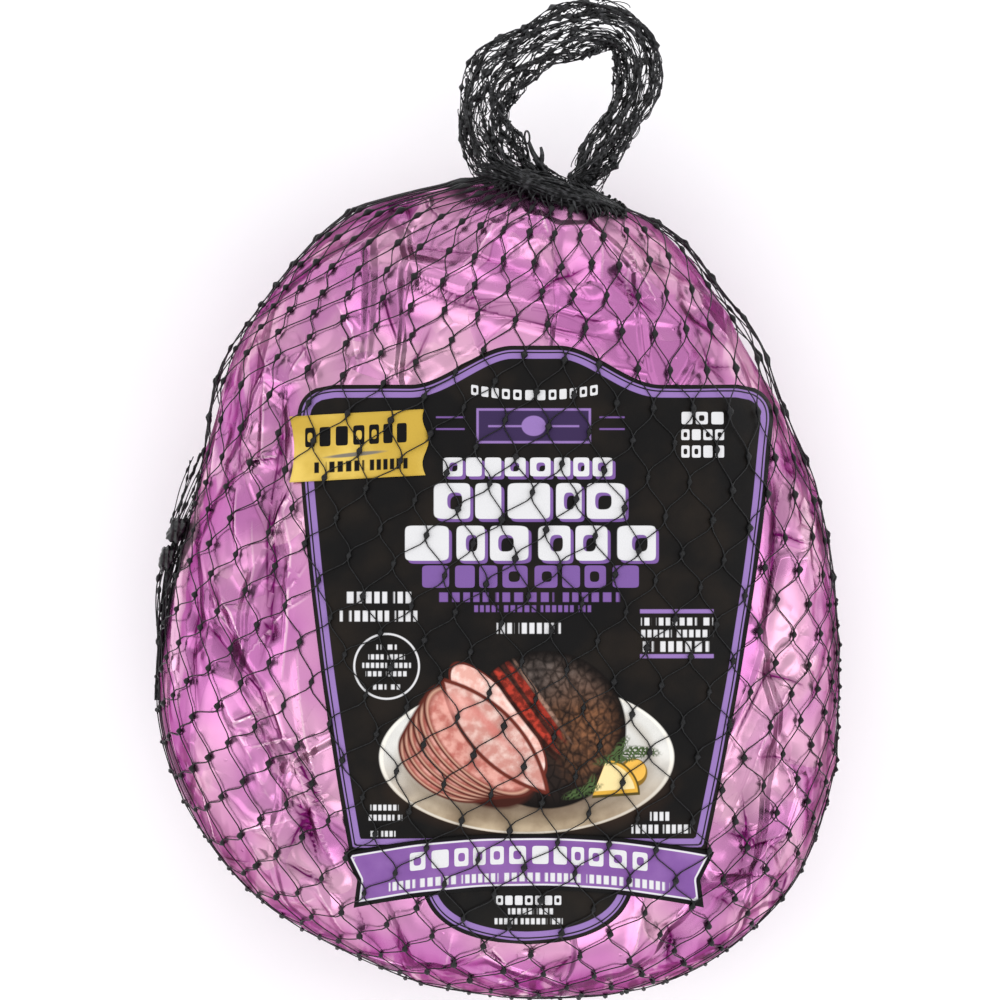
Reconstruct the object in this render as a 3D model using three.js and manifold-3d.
// A boneless ham wrapped in metallised film, with a die-cut label on its front, in a tight black net.
// Millimetres, +Z up. The pack lies on its back with the label up and its carrying loop towards +Y.
import * as THREE from 'three';
import { mergeVertices } from 'three/addons/utils/BufferGeometryUtils.js';
import { ParametricGeometry } from 'three/addons/geometries/ParametricGeometry.js';
import Module from 'manifold-3d';

const wasm = await Module();
wasm.setup();

// Driving dimensions.
const GAP = 0.3; // between touching pieces
const HAM_MIDDLE = new THREE.Vector2(0, -27); // where the outline's spokes meet
const HAM_SPOKES = [100, 99, 104, 119, 122, 120, 108, 96, 98, 109, 116, 118, 121, 127, 124, 109]; // from +X, anticlockwise
const WIDEST_HEIGHT = 56; // level of the outline above the table
const FRONT_RISE = 72; // from the widest level to the crown
const BACK_DROP = 60; // the back's full drop, cut off by the flat resting spot
const FRONT_BLUNTNESS = 2.8; // superellipse exponents: 2 is an ellipse, more is boxier
const BACK_BLUNTNESS = 2.4;
const NECK_LEAN = 0.12; // the front is this much lower at the neck end, and higher at the belly
const HAM_SLICES = 72;
const HAM_LEVELS = 34;

const LABEL_MIDDLE_X = 10.5;
const LABEL_TOP_Y = 34;
const LABEL_FOOT_Y = -104;
const LABEL_TOP_HALF = 70.4; // half widths
const LABEL_FOOT_HALF = 52.6;
const LABEL_SIDE_BULGE = 2;
const LABEL_CORNER = 11;
const LABEL_FOOT_SHIFT = -2.3; // its foot's middle is this much nearer -X than its top's
const LABEL_THICKNESS = 0.4;
const ARCH_HALF = 37;
const ARCH_RISE = 11.6;
const BANNER_MIDDLE_X = 8.5;
const BANNER_HALF = 54.6;
const BANNER_TOP_Y = -104;
const BANNER_HEIGHT = 16.5;
const BANNER_BOW = 5.4; // the banner's middle is this much higher than its ends
const BANNER_TUCK = 3; // its lower corners are this much closer together
const TONGUE_MIDDLE_X = 8.2;
const TONGUE_HALF = 32;
const TONGUE_TOP_Y = -114;
const TONGUE_FOOT_Y = -131.7;
const FLAG_LEFT_X = -62;
const FLAG_RIGHT_X = -22;
const FLAG_TOP_Y = 25.5;
const FLAG_FOOT_Y = 6;

const NECK = new THREE.Vector3(24, 88.5, 74); // where the net is gathered over the ham's end
const NECK_RADII = new THREE.Vector3(21, 8, 13);
const LOOP_MIDDLE_LINE = [
  [14, 88, 72], [1, 101, 72], [-4.5, 113, 71], [-1, 125.5, 69], [9, 134, 67],
  [22, 140, 66], [34, 141, 66], [40.5, 134, 67], [40.5, 122, 68], [33.5, 109, 70], [20, 89, 72],
];
const LOOP_HALF_WIDTH = 8.8; // of the wide limb, across the loop's plane
const LOOP_NARROWING = 0.25; // the other limb is this much narrower
const LOOP_HALF_THICKNESS = 5;
const TIE_STUB_LENGTH = 12;
const TIE_STUB_FOOT = new THREE.Vector3(14.2, 98.5, 72);
const TIE_STUB_LEAN = 0.5; // radians from +Y towards -X

const TAIL_MIDDLE_LINE = [
  [-86, 6, 66], [-91.5, -6, 69], [-95.5, -19, 70], [-98, -33, 68], [-99.5, -47, 64], [-100.3, -60, 60],
];
const TAIL_HALF_WIDTH = 5;
const TAIL_HALF_THICKNESS = 4;
const TAIL_TAPER = 0.5; // how much thinner the far end is
const CLIP_SIZE = new THREE.Vector3(6.5, 16, 8);
const CLIP_MIDDLE = new THREE.Vector3(-97.6, -13.5, 72);
const CLIP_TURN = -0.3;

const FILM = new THREE.MeshStandardMaterial({ color: '#c878bc', roughness: 0.28, metalness: 0.8 });
const LABEL_INK = new THREE.MeshStandardMaterial({ color: '#201c1a', roughness: 0.45, metalness: 0 });
const NETTING = new THREE.MeshStandardMaterial({ color: '#1b1c1b', roughness: 0.5, metalness: 0 });
const CLIP_PLASTIC = new THREE.MeshStandardMaterial({ color: '#161616', roughness: 0.35, metalness: 0 });

// The ham's outline radius at an angle, a smooth curve through the spokes.
function outlineRadius(angle) {
  const count = HAM_SPOKES.length;
  const place = (angle / (2 * Math.PI)) * count;
  const step = Math.floor(place);
  const t = place - step;
  const [a, b, c, d] = [-1, 0, 1, 2].map((k) => HAM_SPOKES[(step + k + count) % count]);
  const slope = c - a;
  const bend = 2 * a - 5 * b + 4 * c - d;
  const twist = 3 * b - a - 3 * c + d;
  return 0.5 * (2 * b + slope * t + bend * t * t + twist * t * t * t);
}

// A point of the ham's skin, grown outwards by `offset`. Level runs from 0 at the back to 1 at the crown.
function skinPoint(turn, level, offset, target) {
  const angle = turn * 2 * Math.PI;
  const latitude = (level - 0.5) * Math.PI;
  const front = latitude > 0;
  const power = 2 / (front ? FRONT_BLUNTNESS : BACK_BLUNTNESS);
  const spread = Math.max(Math.cos(latitude), 0) ** power;
  const rise = Math.abs(Math.sin(latitude)) ** power;
  const radius = (outlineRadius(angle % (2 * Math.PI)) + offset) * spread;
  const forward = radius * Math.sin(angle);
  const depth = front ? FRONT_RISE * (1 - NECK_LEAN * forward / HAM_SPOKES[4]) : BACK_DROP;
  const height = WIDEST_HEIGHT + Math.sign(latitude) * (depth + offset) * rise;
  target.set(HAM_MIDDLE.x + radius * Math.cos(angle), HAM_MIDDLE.y + forward, Math.max(height, -offset));
}

function toSolid(geometry) {
  geometry.deleteAttribute('normal');
  geometry.deleteAttribute('uv');
  const merged = mergeVertices(geometry, 1e-4);
  return new wasm.Manifold(new wasm.Mesh({
    numProp: 3,
    vertProperties: new Float32Array(merged.attributes.position.array),
    triVerts: new Uint32Array(merged.index.array),
  }));
}

function toMesh(solid, name, material) {
  const { vertProperties, triVerts } = solid.getMesh();
  const geometry = new THREE.BufferGeometry();
  geometry.setAttribute('position', new THREE.BufferAttribute(vertProperties, 3));
  geometry.setIndex(new THREE.BufferAttribute(triVerts, 1));
  geometry.computeVertexNormals();
  const mesh = new THREE.Mesh(geometry, material);
  mesh.name = name;
  return mesh;
}

function hamSolid(offset) {
  const surface = (turn, level, target) => skinPoint(turn, level, offset, target);
  return toSolid(new ParametricGeometry(surface, HAM_SLICES, HAM_LEVELS));
}

// A rope of oval section along a curve. It comes to a point at both ends.
function rope(points, sides, steps, halfWidthAt, halfThicknessAt) {
  const path = new THREE.CatmullRomCurve3(points.map((p) => new THREE.Vector3(...p)), false, 'centripetal');
  const up = new THREE.Vector3(0, 0, 1);
  const along = new THREE.Vector3();
  const across = new THREE.Vector3();
  const normal = new THREE.Vector3();
  const surface = (turn, share, target) => {
    const angle = -turn * 2 * Math.PI;
    const closing = Math.sqrt(1 - (2 * share - 1) ** 8);
    path.getTangentAt(share, along);
    across.crossVectors(along, up).normalize();
    normal.crossVectors(across, along);
    path.getPointAt(share, target);
    target.addScaledVector(across, Math.cos(angle) * halfWidthAt(share) * closing);
    target.addScaledVector(normal, Math.sin(angle) * halfThicknessAt(share) * closing);
  };
  return toSolid(new ParametricGeometry(surface, sides, steps));
}

function panelShape() {
  const archTop = LABEL_TOP_Y + ARCH_RISE;
  const cornerY = LABEL_TOP_Y - LABEL_CORNER;
  const sideHalf = (LABEL_TOP_HALF + LABEL_FOOT_HALF) / 2 + 2 * LABEL_SIDE_BULGE;
  const sideShift = LABEL_FOOT_SHIFT / 2;
  const sideY = (cornerY + LABEL_FOOT_Y) / 2;
  const shape = new THREE.Shape();
  shape.moveTo(LABEL_FOOT_SHIFT - LABEL_FOOT_HALF, LABEL_FOOT_Y);
  shape.lineTo(LABEL_FOOT_SHIFT + LABEL_FOOT_HALF, LABEL_FOOT_Y);
  shape.quadraticCurveTo(sideShift + sideHalf, sideY, LABEL_TOP_HALF, cornerY);
  shape.quadraticCurveTo(LABEL_TOP_HALF, LABEL_TOP_Y, LABEL_TOP_HALF - LABEL_CORNER, LABEL_TOP_Y);
  shape.lineTo(ARCH_HALF, LABEL_TOP_Y);
  shape.bezierCurveTo(ARCH_HALF * 0.6, LABEL_TOP_Y + 1, ARCH_HALF * 0.5, archTop, 0, archTop);
  shape.bezierCurveTo(-ARCH_HALF * 0.5, archTop, -ARCH_HALF * 0.6, LABEL_TOP_Y + 1, -ARCH_HALF, LABEL_TOP_Y);
  shape.lineTo(-LABEL_TOP_HALF + LABEL_CORNER, LABEL_TOP_Y);
  shape.quadraticCurveTo(-LABEL_TOP_HALF, LABEL_TOP_Y, -LABEL_TOP_HALF, cornerY);
  shape.quadraticCurveTo(sideShift - sideHalf, sideY, LABEL_FOOT_SHIFT - LABEL_FOOT_HALF, LABEL_FOOT_Y);
  return shape;
}

function bannerShape() {
  const footHalf = BANNER_HALF - BANNER_TUCK;
  const footY = BANNER_TOP_Y - BANNER_HEIGHT;
  const shape = new THREE.Shape();
  shape.moveTo(-footHalf, footY);
  shape.quadraticCurveTo(0, footY + 2 * BANNER_BOW, footHalf, footY);
  shape.lineTo(BANNER_HALF, BANNER_TOP_Y);
  shape.quadraticCurveTo(0, BANNER_TOP_Y + 2 * BANNER_BOW, -BANNER_HALF, BANNER_TOP_Y);
  shape.closePath();
  return shape;
}

function tongueShape() {
  const shape = new THREE.Shape();
  shape.absellipse(0, TONGUE_TOP_Y, TONGUE_HALF, TONGUE_TOP_Y - TONGUE_FOOT_Y, Math.PI, 2 * Math.PI);
  shape.closePath();
  return shape;
}

function flagShape() {
  const middle = (FLAG_TOP_Y + FLAG_FOOT_Y) / 2;
  const shape = new THREE.Shape();
  shape.moveTo(FLAG_RIGHT_X, FLAG_FOOT_Y);
  shape.lineTo(FLAG_RIGHT_X, FLAG_TOP_Y);
  shape.lineTo(FLAG_LEFT_X + 0.5, FLAG_TOP_Y);
  shape.quadraticCurveTo(FLAG_LEFT_X - 0.8, middle, FLAG_LEFT_X + 1, FLAG_FOOT_Y);
  shape.closePath();
  return shape;
}

// A shape in the plan, as a column that passes through the whole front.
function column(shape, x) {
  return toSolid(new THREE.ExtrudeGeometry(shape, { depth: 2 * FRONT_RISE, bevelEnabled: false, curveSegments: 10 })
    .translate(x, 0, WIDEST_HEIGHT));
}

// The die-cut label: its outline in the plan, laid on the ham's front as a thin curved sheet.
function labelSolid() {
  const outline = column(panelShape(), LABEL_MIDDLE_X)
    .add(column(bannerShape(), BANNER_MIDDLE_X))
    .add(column(tongueShape(), TONGUE_MIDDLE_X))
    .add(column(flagShape(), 0));
  return hamSolid(GAP + LABEL_THICKNESS).subtract(hamSolid(GAP)).intersect(outline);
}

// The carrying loop: the net's gathered end, turned back on itself and bound down at the neck.
function loopSolid() {
  const halfWidthAt = (share) => LOOP_HALF_WIDTH * (1 - LOOP_NARROWING * share);
  const loop = rope(LOOP_MIDDLE_LINE, 12, 44, halfWidthAt, () => LOOP_HALF_THICKNESS);
  const neck = toSolid(new THREE.SphereGeometry(1, 20, 12)
    .scale(NECK_RADII.x, NECK_RADII.y, NECK_RADII.z)
    .translate(NECK.x, NECK.y, NECK.z));
  return loop.add(neck).add(tieStubSolid()).subtract(hamSolid(GAP));
}

// The stiff melted end of the tie, standing up inside the loop.
function tieStubSolid() {
  return toSolid(new THREE.CylinderGeometry(0.8, 2.2, TIE_STUB_LENGTH, 8)
    .translate(0, TIE_STUB_LENGTH / 2, 0)
    .rotateZ(TIE_STUB_LEAN)
    .translate(TIE_STUB_FOOT.x, TIE_STUB_FOOT.y, TIE_STUB_FOOT.z));
}

// The net's other end, gathered and lying down the side of the ham.
function tailSolid() {
  const taper = (share) => 1 - TAIL_TAPER * share;
  return rope(TAIL_MIDDLE_LINE, 10, 18, (s) => TAIL_HALF_WIDTH * taper(s), (s) => TAIL_HALF_THICKNESS * taper(s));
}

function clipSolid(grow) {
  return toSolid(new THREE.BoxGeometry(CLIP_SIZE.x + grow, CLIP_SIZE.y + grow, CLIP_SIZE.z + grow)
    .rotateZ(CLIP_TURN)
    .translate(CLIP_MIDDLE.x, CLIP_MIDDLE.y, CLIP_MIDDLE.z));
}

const aroundHam = hamSolid(GAP);
const pack = new THREE.Group();
pack.add(toMesh(hamSolid(0), 'film_wrapped_ham', FILM));
pack.add(toMesh(labelSolid(), 'label', LABEL_INK));
pack.add(toMesh(loopSolid(), 'net_loop', NETTING));
pack.add(toMesh(tailSolid().subtract(aroundHam).subtract(clipSolid(2 * GAP)), 'net_tail', NETTING));
pack.add(toMesh(clipSolid(0).subtract(aroundHam), 'tail_clip', CLIP_PLASTIC));

// The origin is the middle of the box's underside.
const bounds = new THREE.Box3().setFromObject(pack);
const middle = bounds.getCenter(new THREE.Vector3());
pack.position.set(-middle.x, -middle.y, -bounds.min.z);

export default pack;
